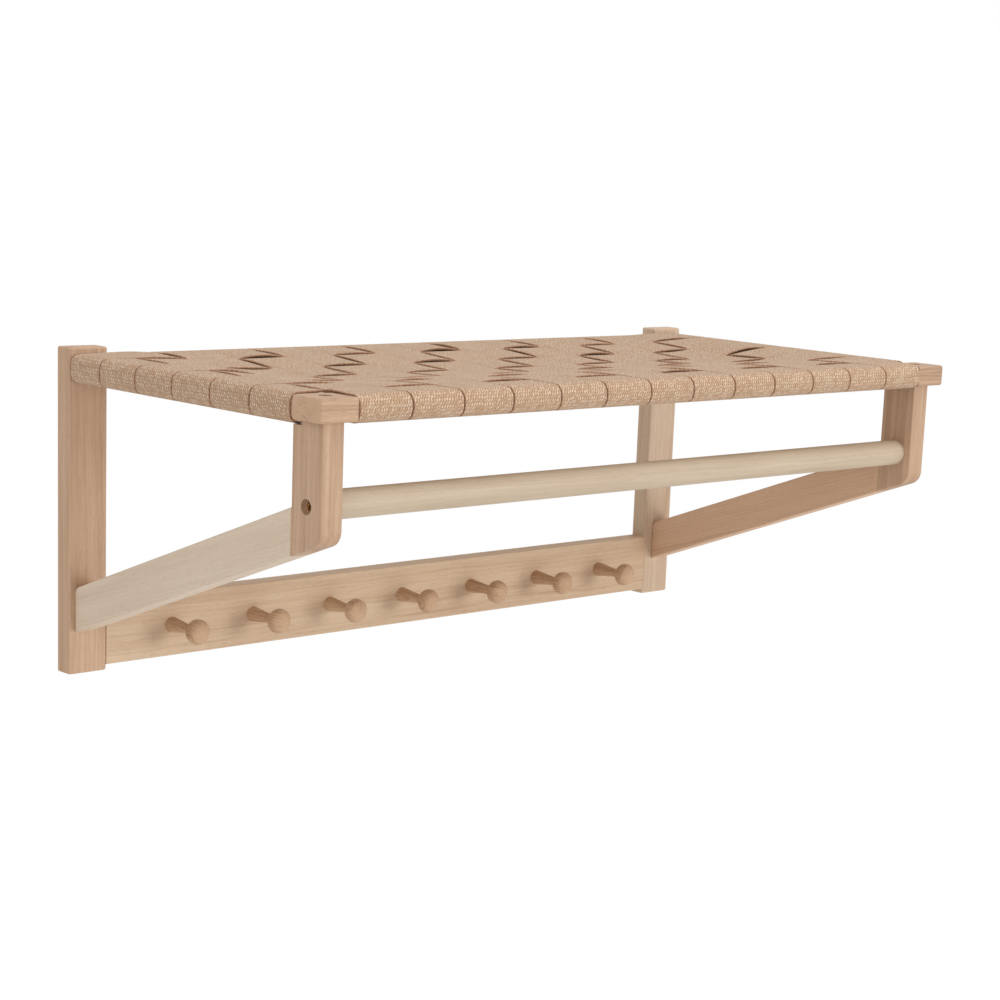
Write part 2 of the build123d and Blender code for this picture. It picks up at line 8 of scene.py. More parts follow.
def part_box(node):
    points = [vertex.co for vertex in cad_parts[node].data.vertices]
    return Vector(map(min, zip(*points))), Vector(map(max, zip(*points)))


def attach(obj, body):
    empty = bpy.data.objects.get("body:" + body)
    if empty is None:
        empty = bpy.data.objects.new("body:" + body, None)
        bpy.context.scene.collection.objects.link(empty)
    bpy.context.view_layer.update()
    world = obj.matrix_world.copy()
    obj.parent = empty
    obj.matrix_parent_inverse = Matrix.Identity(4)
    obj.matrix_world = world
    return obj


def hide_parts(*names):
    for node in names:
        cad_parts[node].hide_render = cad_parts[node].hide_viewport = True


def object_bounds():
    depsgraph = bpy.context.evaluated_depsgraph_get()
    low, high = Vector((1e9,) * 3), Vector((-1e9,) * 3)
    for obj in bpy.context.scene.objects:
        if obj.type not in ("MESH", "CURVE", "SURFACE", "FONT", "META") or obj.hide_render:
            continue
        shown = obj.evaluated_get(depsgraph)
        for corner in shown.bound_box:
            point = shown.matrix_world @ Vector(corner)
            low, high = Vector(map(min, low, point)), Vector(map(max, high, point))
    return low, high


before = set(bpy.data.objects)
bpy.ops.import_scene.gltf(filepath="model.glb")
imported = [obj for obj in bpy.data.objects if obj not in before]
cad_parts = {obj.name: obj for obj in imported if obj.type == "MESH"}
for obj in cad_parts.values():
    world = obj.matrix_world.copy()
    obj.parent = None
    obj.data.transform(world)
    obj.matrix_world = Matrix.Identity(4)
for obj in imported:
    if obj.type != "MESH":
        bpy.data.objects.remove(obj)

# Looks of a wall rack: oiled beech boards and pegs, shaker webbing woven over a rail frame, and the
# screws, plates, dowels and staples that hold it. Metres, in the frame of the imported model.

MM = 0.001
cad_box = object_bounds()


def rgb(red, green, blue):
    """A colour given as display values from 0 to 255, as the linear values that a shader takes."""
    def linear(value):
        share = value / 255
        return share / 12.92 if share <= 0.04045 else ((share + 0.055) / 1.055) ** 2.4
    return (linear(red), linear(green), linear(blue), 1.0)


# ---- camera ------------------------------------------------------------------------------------

CAMERA_PLACE = Vector((-1.5694, -1.8498, 0.2602))
CAMERA_YAW = math.radians(45.058)
CAMERA_PITCH = math.radians(-11.966)
CAMERA_ROLL = math.radians(2.641)
CAMERA_LENS_MM = 85.99
SENSOR_MM = 36.0
CAMERA_SHIFT = (-0.0818, 0.1449)


def add_camera():
    flat = Vector((math.sin(CAMERA_YAW), math.cos(CAMERA_YAW), 0))
    ahead = flat * math.cos(CAMERA_PITCH) + Vector((0, 0, math.sin(CAMERA_PITCH)))
    level_right = Vector((math.cos(CAMERA_YAW), -math.sin(CAMERA_YAW), 0))
    level_up = level_right.cross(ahead)
    right = level_right * math.cos(CAMERA_ROLL) + level_up * math.sin(CAMERA_ROLL)
    up = level_up * math.cos(CAMERA_ROLL) - level_right * math.sin(CAMERA_ROLL)
    data = bpy.data.cameras.new("studio_camera")
    data.lens = CAMERA_LENS_MM
    data.sensor_width = SENSOR_MM
    data.shift_x, data.shift_y = CAMERA_SHIFT
    data.clip_end = 50
    camera = bpy.data.objects.new("studio_camera", data)
    turn = Matrix((right, up, -ahead)).transposed().to_4x4()
    camera.matrix_world = Matrix.Translation(CAMERA_PLACE) @ turn
    bpy.context.scene.collection.objects.link(camera)
    bpy.context.scene.camera = camera


# ---- node graphs -------------------------------------------------------------------------------

class Graph:
    """Short ways to add nodes to a tree and feed their sockets with values or other sockets."""

    def __init__(self, tree):
        self.tree = tree

    def node(self, kind, inputs=None, **settings):
        made = self.tree.nodes.new(kind)
        for name, value in settings.items():
            setattr(made, name, value)
        for name, value in (inputs or {}).items():
            self.feed(made, name, value)
        return made

    def feed(self, node, name, value):
        socket = node.inputs[name]
        if isinstance(value, bpy.types.NodeSocket):
            self.tree.links.new(value, socket)
        else:
            socket.default_value = value

    def math(self, operation, *values):
        made = self.node("ShaderNodeMath", dict(enumerate(values)), operation=operation)
        return made.outputs[0]

    def vector(self, operation, *values):
        made = self.node("ShaderNodeVectorMath", dict(enumerate(values)), operation=operation)
        return made.outputs["Value" if operation in ("DOT_PRODUCT", "LENGTH") else "Vector"]

    def split(self, vector):
        made = self.node("ShaderNodeSeparateXYZ", {"Vector": vector})
        return made.outputs[0], made.outputs[1], made.outputs[2]

    def join(self, x, y, z=0.0):
        return self.node("ShaderNodeCombineXYZ", {"X": x, "Y": y, "Z": z}).outputs[0]

    def noise(self, vector, scale, detail=2.0, roughness=0.5):
        made = self.node(
            "ShaderNodeTexNoise",
            {"Vector": vector, "Scale": scale, "Detail": detail, "Roughness": roughness},
        )
        return made.outputs["Fac"]

    def stretched_noise(self, vector, scales, detail=2.0, roughness=0.5):
        """Noise with its own number of lumps to one unit of the vector along each axis."""
        return self.noise(self.vector("MULTIPLY", vector, scales), 1.0, detail, roughness)

    def spread(self, value, low, high, to_low=0.0, to_high=1.0):
        """The value's stretch from low to high, softened at both ends, as to_low to to_high."""
        made = self.node(
            "ShaderNodeMapRange",
            {"Value": value, "From Min": low, "From Max": high, "To Min": to_low, "To Max": to_high},
            interpolation_type="SMOOTHSTEP",
        )
        return made.outputs["Result"]

    def mix(self, share, first, second):
        """Two colours mixed. The numbers are those of the Mix node's colour sockets."""
        made = self.node("ShaderNodeMix", data_type="RGBA")
        for place, value in ((0, share), (6, first), (7, second)):
            self.feed(made, place, value)
        return made.outputs[2]


def group_with(name, inputs, outputs):
    """A node group with named sockets. Gives it, its graph, its input sockets and its output node."""
    group = bpy.data.node_groups.new(name, "ShaderNodeTree")
    for socket, kind, value in inputs:
        made = group.interface.new_socket(name=socket, in_out="INPUT", socket_type=kind)
        if value is not None:
            made.default_value = value
    for socket, kind in outputs:
        group.interface.new_socket(name=socket, in_out="OUTPUT", socket_type=kind)
    graph = Graph(group)
    return group, graph, graph.node("NodeGroupInput").outputs, graph.node("NodeGroupOutput")


def material_with(name):
    """A material with a Principled shader; gives the material, its graph and the shader."""
    material = bpy.data.materials.new(name)
    material.use_nodes = True
    graph = Graph(material.node_tree)
    return material, graph, material.node_tree.nodes["Principled BSDF"]


def use_group(graph, group, values):
    return graph.node("ShaderNodeGroup", values, node_tree=group).outputs


def raise_surface(graph, shader, height, distance, strength=1.0):
    bump = graph.node("ShaderNodeBump", {"Height": height, "Distance": distance, "Strength": strength})
    graph.feed(shader, "Normal", bump.outputs["Normal"])


# ---- wood --------------------------------------------------------------------------------------

def beech_grain_group():
    """Solid beech. Place is in metres, X along the grain, with the tree's pith on the X axis."""
    group, g, given, out = group_with(
        "beech_grain",
        [
            ("Place", "NodeSocketVector", None),
            ("Light wood", "NodeSocketColor", rgb(214, 184, 154)),
            ("Dark wood", "NodeSocketColor", rgb(182, 144, 114)),
            ("Fleck wood", "NodeSocketColor", rgb(140, 98, 70)),
            ("Ring width", "NodeSocketFloat", 0.0032),
            ("Rings", "NodeSocketFloat", 0.5),
            ("Streaks", "NodeSocketFloat", 0.5),
            ("Flecks", "NodeSocketFloat", 0.5),
            ("End grain", "NodeSocketFloat", 0.0),
        ],
        [("Colour", "NodeSocketColor"), ("Height", "NodeSocketFloat"), ("Roughness", "NodeSocketFloat")],
    )
    place = given["Place"]
    along, across, through = g.split(place)

    sway = g.stretched_noise(place, (6.0, 34.0, 34.0), 4.0, 0.6)
    radius = g.vector("LENGTH", g.join(0.0, across, through))
    warped = g.math("ADD", radius, g.math("MULTIPLY", g.math("SUBTRACT", sway, 0.5), 0.011))
    phase = g.math("DIVIDE", warped, given["Ring width"])
    within = g.math("FRACT", phase)
    ring_tone = g.node("ShaderNodeTexWhiteNoise", {"W": g.math("FLOOR", phase)}, noise_dimensions="1D")
    late = g.math("MULTIPLY", g.spread(within, 0.15, 0.85), g.spread(within, 1.0, 0.86))
    late = g.math("MULTIPLY", late, g.spread(ring_tone.outputs["Value"], 0.0, 1.0, 0.25, 1.0))
    faded = g.spread(g.stretched_noise(place, (9.0, 60.0, 60.0), 2.0), 0.3, 0.65, 0.3, 1.0)
    late = g.math("MULTIPLY", late, faded)

    fine = g.stretched_noise(place, (16.0, 900.0, 900.0), 3.0, 0.6)
    broad = g.stretched_noise(place, (3.5, 110.0, 110.0), 3.0, 0.55)
    cloud = g.stretched_noise(place, (4.0, 14.0, 14.0), 2.0)
    streak = g.math("ADD", g.math("MULTIPLY", fine, 0.45), g.math("MULTIPLY", broad, 0.55))
    streak = g.spread(streak, 0.33, 0.67)

    fleck = g.stretched_noise(place, (110.0, 1500.0, 1500.0), 2.0)
    fleck = g.spread(fleck, 0.50, 0.72)
    patch = g.spread(g.stretched_noise(place, (20.0, 120.0, 120.0), 1.0), 0.3, 0.6, 0.35, 1.0)
    fleck = g.math("MULTIPLY", g.math("MULTIPLY", fleck, patch), given["Flecks"])

    dark = g.math("ADD", g.math("MULTIPLY", late, given["Rings"]),
                  g.math("MULTIPLY", streak, given["Streaks"]))
    dark = g.math("ADD", dark, given["End grain"])
    dark = g.math("ADD", dark, g.spread(cloud, 0.3, 0.7, -0.14, 0.14))
    dark = g.node("ShaderNodeClamp", {"Value": dark}).outputs[0]
    colour = g.mix(dark, given["Light wood"], given["Dark wood"])
    colour = g.mix(fleck, colour, given["Fleck wood"])
    g.feed(out, "Colour", colour)

    height = g.math("SUBTRACT", g.math("MULTIPLY", fine, 0.6), g.math("MULTIPLY", fleck, 0.5))
    height = g.math("SUBTRACT", height, g.math("MULTIPLY", late, 0.2))
    g.feed(out, "Height", height)
    rough = g.spread(broad, 0.25, 0.75, 0.56, 0.66)
    g.feed(out, "Roughness", g.math("ADD", rough, g.math("MULTIPLY", fleck, 0.08)))
    return group


beech_grain = beech_grain_group()

FLECK_SHADE = (0.80, 0.72, 0.66)  # the flecks' red, green and blue as shares of the dark wood's

# A board's three axes: along the grain, across it and through the board.
ALONG_X = ((1, 0, 0), (0, 1, 0), (0, 0, 1))
ALONG_Y = ((0, 1, 0), (1, 0, 0), (0, 0, -1))
ALONG_Z = ((0, 0, 1), (1, 0, 0), (0, 1, 0))


def beech(name, axes, pith, light, dark, rings=0.45, streaks=0.45, flecks=0.45, ring_width=3.2,
          end_tone_and_painted_light=0.15):
    """Beech whose grain runs along the first of three axes. `pith` is a point on the tree's middle
    line, outside a sawn board. The last argument darkens the faces across the grain, end grain's
    own darker tone; below 0 it lightens them instead, which is painted light."""
    material, g, shader = material_with(name)
    turn = Matrix(axes)
    coordinates = g.node("ShaderNodeTexCoord").outputs["Object"]
    mapping = g.node(
        "ShaderNodeMapping",
        {"Vector": coordinates, "Location": -(turn @ Vector(pith)), "Rotation": turn.to_euler()},
    )
    normal = g.node("ShaderNodeNewGeometry").outputs["Normal"]
    facing = g.math("ABSOLUTE", g.vector("DOT_PRODUCT", normal, axes[0]))
    grain = use_group(g, beech_grain, {
        "Place": mapping.outputs[0],
        "Light wood": light,
        "Dark wood": dark,
        "Fleck wood": tuple(share * value for share, value in zip(FLECK_SHADE, dark)) + (1.0,),
        "Ring width": ring_width * MM,
        "Rings": rings,
        "Streaks": streaks,
        "Flecks": flecks,
        "End grain": g.spread(facing, 0.6, 0.95, 0.0, end_tone_and_painted_light),
    })
    g.feed(shader, "Base Color", grain["Colour"])
    g.feed(shader, "Roughness", grain["Roughness"])
    raise_surface(g, shader, grain["Height"], 0.12 * MM, 0.6)
    return material


def dress(node, material):
    """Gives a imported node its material."""
    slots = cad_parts[node].data.materials
    slots.clear()
    slots.append(material)


POST_TONES = {
    "left": (rgb(207, 176, 147), rgb(172, 135, 107)),
    "right": (rgb(212, 190, 165), rgb(181, 151, 123)),
}
LEG_TONES = (rgb(204, 174, 146), rgb(164, 126, 97))
BRACE_TONES = {
    "left": (rgb(221, 204, 184), rgb(198, 177, 154)),
    "right": (rgb(219, 185, 155), rgb(188, 150, 120)),
}
BRACE_RINGS = {"left": 0.3, "right": 0.5}
RIGHT_END_SHIFT = 0.37                    # metres along the tree from the left end's boards
BRACE_RISE = 0.3775                       # rise of a brace for each millimetre of reach
BRACE_GRAIN_LEAN = math.radians(2.5)      # its grain lies this much flatter than its edges
PEG_COUNT = 7
PEG_TURN = math.radians(47)               # from one peg's rings to the next one's
PEG_SHIFT = 0.013                         # metres along the tree from one peg to the next

# Where the tree's middle line passes each board of an end, in metres.
POST_PITH = (0.05, 0.055)                 # outward from the post's middle, and back from the wall
LEG_PITH = (0.008, -0.06)                 # right of the leg's outer face, and back from its front
BRACE_PITH = (0.34, -0.20)                # outward from the rack's middle, and up from the keyholes
BRACE_PITH_RISE = 0.05                    # its rise, as a share of the shift along the tree
SIDE_RAIL_PITH = (0.33, 0.0, 0.02)        # outward, back and up


def dress_end_frame(side, sign, shift):
    """The post, leg, brace and side rail at one end. `shift` moves their grain along, so that the
    two ends don't match."""
    post_low, post_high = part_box("left_post")
    leg_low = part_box("left_leg")[0]
    brace_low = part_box("left_brace")[0]
    post_middle = -(post_low.x + post_high.x) / 2
    dress(f"{side}_post", beech(
        f"beech_{side}_post", ALONG_Z,
        (sign * (post_middle + POST_PITH[0]), POST_PITH[1], shift),
        *POST_TONES[side], rings=0.3, streaks=0.45, flecks=0.3,
    ))
    dress(f"{side}_leg", beech(
        f"beech_{side}_leg", ALONG_Z,
        (-sign * leg_low.x + LEG_PITH[0], leg_low.y + LEG_PITH[1], shift),
        *LEG_TONES, rings=0.2, streaks=0.6, flecks=0.3, ring_width=5.5,
    ))
    slope = math.atan(BRACE_RISE) - BRACE_GRAIN_LEAN
    along_brace = (0.0, -math.cos(slope), math.sin(slope))
    across_brace = (0.0, math.sin(slope), math.cos(slope))
    dress(f"{side}_brace", beech(
        f"beech_{side}_brace", (along_brace, across_brace, (1, 0, 0)),
        (sign * BRACE_PITH[0], brace_low.y, BRACE_PITH[1] + shift * BRACE_PITH_RISE),
        *BRACE_TONES[side], rings=BRACE_RINGS[side], streaks=0.35, flecks=0.35, ring_width=3.6,
    ))
    dress(f"{side}_side_rail", beech(
        f"beech_{side}_side_rail", ALONG_Y, (sign * SIDE_RAIL_PITH[0], *SIDE_RAIL_PITH[1:]),
        *POST_TONES[side],
    ))


def dress_rails():
    """The peg rail, the shelf's front and back rails and the clothes rod."""
    peg_rail_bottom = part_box("peg_rail")[0].z
    dress("peg_rail", beech(
        "beech_peg_rail", ALONG_X, (0.0, 0.03, peg_rail_bottom - 0.035), rgb(214, 189, 160),
        rgb(180, 144, 114), rings=0.35, streaks=0.5, flecks=0.35, ring_width=3.8,
    ))
    # Painted light: the negative end-grain value makes the rail's end faces lighter than its front,
    # standing in for the light that falls on those ends.
    dress("front_rail", beech(
        "beech_front_rail", ALONG_X, (0.0, -0.325, -0.045), rgb(202, 168, 138), rgb(132, 102, 78),
        rings=0.55, streaks=0.42, flecks=0.3, ring_width=3.4, end_tone_and_painted_light=-0.35,
    ))
    dress("back_rail", beech(
        "beech_back_rail", ALONG_X, (0.2, 0.02, 0.0), rgb(212, 180, 150), rgb(180, 142, 112),
    ))
    dress("hanging_rod", beech(
        "beech_hanging_rod", ALONG_X, (0.4, -0.33, -0.01), rgb(204, 188, 165), rgb(181, 158, 132),
        rings=0.25, streaks=0.4, flecks=0.25,
    ))


def dress_pegs():
    """Each peg is turned from another part of the tree, so that its rings lie another way."""
    for number in range(1, PEG_COUNT + 1):
        low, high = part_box(f"peg_{number}")
        middle = (low + high) / 2
        turn = PEG_TURN * number
        away = 0.02 + 0.006 * (number % 3)
        pith = (middle.x + away * math.cos(turn), PEG_SHIFT * number,
                middle.z + away * math.sin(turn))
        # Painted light: the negative end-grain value makes each head's face lighter than its shank, as
        # the head faces the key light and the shank lies in shade.
        dress(f"peg_{number}", beech(
            f"beech_peg_{number}", ALONG_Y, pith, rgb(200, 166, 134), rgb(152, 108, 74),
            rings=0.6, streaks=0.36, flecks=0.2, ring_width=2.6, end_tone_and_painted_light=-0.22,
        ))


def dress_dowels():
    dowels = beech(
        "beech_dowels", ALONG_X, (0.1, 0.0, 0.0), rgb(208, 178, 146), rgb(176, 138, 106),
    )
    for node in ("peg_rail_dowels", "back_rail_dowels", "front_corner_dowels", "brace_dowels"):
        dress(node, dowels)


def dress_wood():
    dress_end_frame("left", -1, 0.0)
    dress_end_frame("right", 1, RIGHT_END_SHIFT)
    dress_rails()
    dress_pegs()
    dress_dowels()


# ---- metal -------------------------------------------------------------------------------------

def worn_metal_group():
    """Fine scratches and blotches for plated metal. Place is in metres."""
    group, g, given, out = group_with(
        "worn_metal",
        [
            ("Place", "NodeSocketVector", None),
            ("Bright", "NodeSocketColor", rgb(210, 212, 214)),
            ("Dull", "NodeSocketColor", rgb(150, 152, 156)),
            ("Least rough", "NodeSocketFloat", 0.3),
            ("Most rough", "NodeSocketFloat", 0.5),
        ],
        [("Colour", "NodeSocketColor"), ("Height", "NodeSocketFloat"), ("Roughness", "NodeSocketFloat")],
    )
    place = given["Place"]
    blotch = g.spread(g.noise(place, 420.0, 3.0), 0.35, 0.65)
    scratch = g.spread(g.stretched_noise(place, (4000.0, 300.0, 4000.0), 2.0), 0.55, 0.7)
    g.feed(out, "Colour", g.mix(blotch, given["Bright"], given["Dull"]))
    span = g.math("SUBTRACT", given["Most rough"], given["Least rough"])
    rough = g.math("ADD", g.math("MULTIPLY", blotch, span), given["Least rough"])
    g.feed(out, "Roughness", g.math("ADD", rough, g.math("MULTIPLY", scratch, 0.12)))
    g.feed(out, "Height", g.math("SUBTRACT", g.math("MULTIPLY", blotch, 0.4), scratch))
    return group


worn_metal = worn_metal_group()


def metal(name, bright, dull, least_rough, most_rough, metallic=1.0):
    material, g, shader = material_with(name)
    coordinates = g.node("ShaderNodeTexCoord").outputs["Object"]
    wear = use_group(g, worn_metal, {
        "Place": coordinates, "Bright": bright, "Dull": dull,
        "Least rough": least_rough, "Most rough": most_rough,
    })
    g.feed(shader, "Base Color", wear["Colour"])
    g.feed(shader, "Roughness", wear["Roughness"])
    g.feed(shader, "Metallic", metallic)
    raise_surface(g, shader, wear["Height"], 0.02 * MM, 0.5)
    return material


def dress_metal():
    zinc = metal("zinc_steel", rgb(214, 215, 214), rgb(168, 170, 170), 0.28, 0.45)
    bronze = metal("bronzed_steel", rgb(196, 142, 84), rgb(58, 40, 28), 0.35, 0.6, 0.8)
    for node in ("left_hanger_plate", "right_hanger_plate", "hanger_screws", "side_rail_screws",
                 "brace_screws", "cross_strap_staples", "long_strap_staples"):
        dress(node, zinc)
    for node in ("rod_screws", "front_rail_screws"):
        dress(node, bronze)


# ---- webbing material --------------------------------------------------------------------------

COLUMN = 2.8 * MM                 # spacing of the webbing's yarn columns
ROW = 2.8 * MM                    # spacing of its stitch rows
STRAP_COLUMNS = 19
ZIGZAG = 0.22                     # sideways swing of a yarn column, in columns
SLANT = 0.30                      # lean of each stitch, in columns
ROW_SWAY = 1.6                    # how far the stitch rows stray along the strap, in rows
PAINTED_EDGE_SHADE_BAND = 0.36                  # width of the painted shade along a strap's edges, in columns


def webbing_weave_group():
    """Stitches of shaker webbing. Place counts yarn columns in X and stitch rows in Y; every
    second row lies half a column aside, and each stitch leans to the right."""
    group, g, given, out = group_with(
        "webbing_weave",
        [("Place", "NodeSocketVector", None)],
        [("Stitch", "NodeSocketFloat"), ("Tone", "NodeSocketFloat"), ("Hue", "NodeSocketFloat"),
         ("Fibre", "NodeSocketFloat"), ("Painted edge shade", "NodeSocketFloat")],
    )
    across, level, _ = g.split(given["Place"])
    stretch = g.stretched_noise(given["Place"], (0.8, 0.11, 1.0), 1.0)
    along = g.math("ADD", level, g.math("MULTIPLY", g.math("SUBTRACT", stretch, 0.5), ROW_SWAY))
    row = g.math("FLOOR", along)
    within = g.math("SUBTRACT", g.math("FRACT", along), 0.5)
    aside = g.math("MULTIPLY", g.math("FLOORED_MODULO", row, 2.0), 0.5)
    lean = g.math("MULTIPLY", within, 2 * SLANT)
    column = g.math("SUBTRACT", g.math("SUBTRACT", across, aside), lean)
    off_column = g.math("ABSOLUTE", g.math("SUBTRACT", g.math("FRACT", column), 0.5))
    body = g.spread(off_column, 0.44, 0.16)
    ends = g.spread(g.math("ABSOLUTE", within), 0.56, 0.26)
    g.feed(out, "Stitch", g.math("MULTIPLY", body, ends))

    stitch = g.join(g.math("FLOOR", column), row)
    stitch_tone = g.node("ShaderNodeTexWhiteNoise", {"Vector": stitch}, noise_dimensions="2D")
    other_stitch = g.vector("ADD", stitch, (7.3, 3.1, 0.0))
    stitch_hue = g.node("ShaderNodeTexWhiteNoise", {"Vector": other_stitch}, noise_dimensions="2D")
    metres = g.vector("MULTIPLY", given["Place"], (COLUMN, ROW, 0.0))
    band = g.stretched_noise(metres, (14.0, 9.0, 1.0), 3.0)
    patch = g.stretched_noise(metres, (90.0, 60.0, 1.0), 2.0)
    tone = g.math("ADD", g.math("MULTIPLY", stitch_tone.outputs["Value"], 0.7),
                  g.math("MULTIPLY", band, 0.18))
    g.feed(out, "Tone", g.math("ADD", tone, g.math("MULTIPLY", patch, 0.12)))
    g.feed(out, "Hue", stitch_hue.outputs["Value"])
    fibres = g.join(g.math("MULTIPLY", column, 7.0), g.math("MULTIPLY", along, 1.6))
    g.feed(out, "Fibre", g.noise(fibres, 1.0, 3.0, 0.6))
    # Painted shade: a band along each of a strap's edges, darkened to stand in for the shade on its thin
    # sides and in the gaps beside them.
    from_edge = g.math("MINIMUM", across, g.math("SUBTRACT", float(STRAP_COLUMNS), across))
    g.feed(out, "Painted edge shade", g.spread(from_edge, PAINTED_EDGE_SHADE_BAND, 0.0))
    return group


def webbing():
    material, g, shader = material_with("shaker_webbing")
    place = g.node("ShaderNodeUVMap", uv_map="weave").outputs[0]
    weave = use_group(g, webbing_weave_group(), {"Place": place})
    yarn = g.mix(g.spread(weave["Tone"], 0.25, 0.75), rgb(199, 169, 141), rgb(226, 205, 181))
    yarn = g.mix(g.spread(weave["Hue"], 0.55, 1.0, 0.0, 0.5), yarn, rgb(221, 186, 160))
    yarn = g.mix(g.spread(weave["Fibre"], 0.4, 0.8, 0.0, 0.3), yarn, rgb(180, 146, 114))
    ground = g.mix(g.spread(weave["Fibre"], 0.3, 0.7), rgb(160, 127, 99), rgb(181, 148, 119))
    woven = g.mix(weave["Stitch"], ground, yarn)
    # Painted shade: the strap's edges are mixed towards dark brown.
    painted_edge_shade_share = g.math("MULTIPLY", weave["Painted edge shade"], 0.65)
    g.feed(shader, "Base Color", g.mix(painted_edge_shade_share, woven, rgb(150, 104, 76)))
    shader.inputs["Roughness"].default_value = 0.88
    shader.inputs["Specular IOR Level"].default_value = 0.15
    shader.inputs["Sheen Weight"].default_value = 0.14
    shader.inputs["Sheen Roughness"].default_value = 0.45
    height = g.math("ADD", weave["Stitch"], g.math("MULTIPLY", weave["Fibre"], 0.3))
    raise_surface(g, shader, height, 0.32 * MM, 0.8)
    return material


# ---- strap meshes ------------------------------------------------------------------------------

SELVEDGE = 0.5 * MM               # rounding at a strap's edges
SELVEDGE_SHARE = 0.72             # a strap's thickness where that rounding starts, as a share
YARN_UNEVEN = (0.7, 1.3)          # least and most that one yarn stands out, as shares
RELIEF = 0.07 * MM                # how far the yarns stand out
BEAD = 0.12 * MM                  # how far the edge loops stand out at each row
SPREAD = 0.55 * MM                # how far a strap spreads past its packed width, on each side
STEP = 12.0 * MM                  # length over which a strap drops from over to under
STEP_SHIFT = 2.6 * MM             # how far inside its upper cell that drop's middle lies
CROWN = 0.22 * MM                 # arch of a strap over the strap below it
CURL = 0.15 * MM                  # further lift of its edges there
FRONT_CURL = 0.60 * MM            # the same, for the front edges of the long straps
DIP = 0.25 * MM                   # how far a strap below is pressed down
DROOP = 0.22 * MM                 # further drop of its edges there
CELL_TILT = 0.20 * MM             # most that one crossing tilts across the strap
RAIL_LIFT = 0.5 * MM              # lift of an edge that lies beside a rail's webbing
RAIL_CURL = 0.35 * MM             # lift of a strap's edges on a rail, before it passes over
BACK_SLACK = 1.1                  # how much looser the weave is at the back, as a share
CELL_UNEVEN = (0.55, 1.45)        # least and most looseness of one crossing, as shares
WANDER = 0.06 * MM                # how far a strap strays sideways
WANDER_LENGTHS = (0.31, 0.17, 0.09)    # metres from one stray to the next
WANDER_PEAK = 2.2                 # about the most that three such waves add up to
SPLAY = 0.0152                    # spread of the cross straps at the front, as a share of X
END_HEIGHT = 13.0 * MM            # where a strap's end stops, up the rail's inner face
FRONT_NOSE = 8.5 * MM             # rounding of each rail's outer edges under the webbing
SIDE_NOSE = 7.0 * MM
BACK_NOSE = 4.0 * MM
INNER_EASE = 1.5 * MM             # rounding of the rails' lower inner edges
SAG = 8.5 * MM                    # most that the deck hangs below a straight line between rails
SAG_RUN = 100.0 * MM              # distance from a side rail over which the sag builds up
RAIL_LEAVE = 12.0 * MM            # length over which a cross strap leaves a rail's own level
ARC_POINTS = 24                   # points on each rounded corner of a strap's path
LONG_STRAPS = 6
CROSS_STRAPS = 13

side_low, side_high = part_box("right_side_rail")
front_low, front_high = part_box("front_rail")
back_low, back_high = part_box("back_rail")
THICKNESS = front_low.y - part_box("cross_strap_01")[0].y
OVER_UNDER = 0.975 * MM           # a strap's distance from the weave's middle level
SIDE_DROP = front_high.z - side_high.z
BACK_DROP = front_high.z - back_high.z


def smooth(value):
    value = np.clip(value, 0.0, 1.0)
    return value * value * (3 - 2 * value)


def arc(centre, radius, start, end):
    """Points round a centre, angles in degrees."""
    angles = np.radians(np.linspace(start, end, ARC_POINTS))
    return np.stack([centre[0] + radius * np.cos(angles), centre[1] + radius * np.sin(angles)], 1)


def wrap(width, bottom, top, nose, ease):
    """Middle line of a strap round a rail, from its end up the inner face, under and over the top.
    The first number is the distance outward from the rail's inner face, the second the height."""
    half = THICKNESS / 2
    lines = [
        [[-half, bottom + END_HEIGHT]],
        arc((ease, bottom + ease), ease + half, 180, 270),
        arc((width - nose, bottom + nose), nose + half, 270, 360),
        arc((width - nose, top - nose), nose + half, 0, 90),
        [[0.0, top + half]],
    ]
    return np.concatenate(lines)


def strap_path(low_rail, high_rail):
    """Middle line over two rails, each (outer edge, inner edge, bottom, top, nose, ease)."""
    ends = []
    for outer, inner, bottom, top, nose, ease in (low_rail, high_rail):
        line = wrap(abs(inner - outer), bottom, top, nose, ease)
        line[:, 0] = inner + math.copysign(1, outer - inner) * line[:, 0]
        ends.append(line)
    return np.concatenate([ends[0], ends[1][::-1]])


def resample(line, spacing):
    """Evenly spaced points on a line, an even number of steps long."""
    reach = np.concatenate([[0.0], np.cumsum(np.linalg.norm(np.diff(line, axis=0), axis=1))])
    steps = 2 * round(reach[-1] / spacing / 2)
    at = np.linspace(0, reach[-1], steps + 1)
    return np.stack([np.interp(at, reach, line[:, 0]), np.interp(at, reach, line[:, 1])], 1), reach[-1]


def slow_noise(along, chance, size):
    """A gentle sideways drift along a strap."""
    total = np.zeros_like(along)
    for length in WANDER_LENGTHS:
        total += np.sin(2 * math.pi * along / length + chance.uniform(0, 2 * math.pi))
    return total * size / WANDER_PEAK


def reach_of(y):
    """0 at the front rail's inner face and 1 at the back rail's."""
    return np.clip((y - front_high.y) / (back_low.y - front_high.y), 0.0, 1.0)


def deck_drop(x, y):
    """How far the deck lies below the front rail's top: level with a side rail beside it, and
    further in hanging between the front rail and the lower back rail."""
    reach = reach_of(y)
    hang = BACK_DROP * reach + SAG * np.sin(math.pi * reach) ** 2
    built_up = smooth((side_low.x - np.abs(x)) / SAG_RUN)
    return SIDE_DROP + (hang - SIDE_DROP) * built_up


def hump(along, low, high):
    """Rises from 0 at `low` to 1 midway to `high`, and falls again."""
    return np.sin(math.pi * np.clip((along - low) / (high - low), 0.0, 1.0))[:, None]


def rail_hump(along, outer, inner, far):
    """Rises from 0 at a rail's outer edge to 1 at its inner edge, and falls to 0 at `far`."""
    rise = smooth((along - outer) / (inner - outer))
    fall = smooth((far - along) / (far - inner))
    return (rise * fall)[:, None]


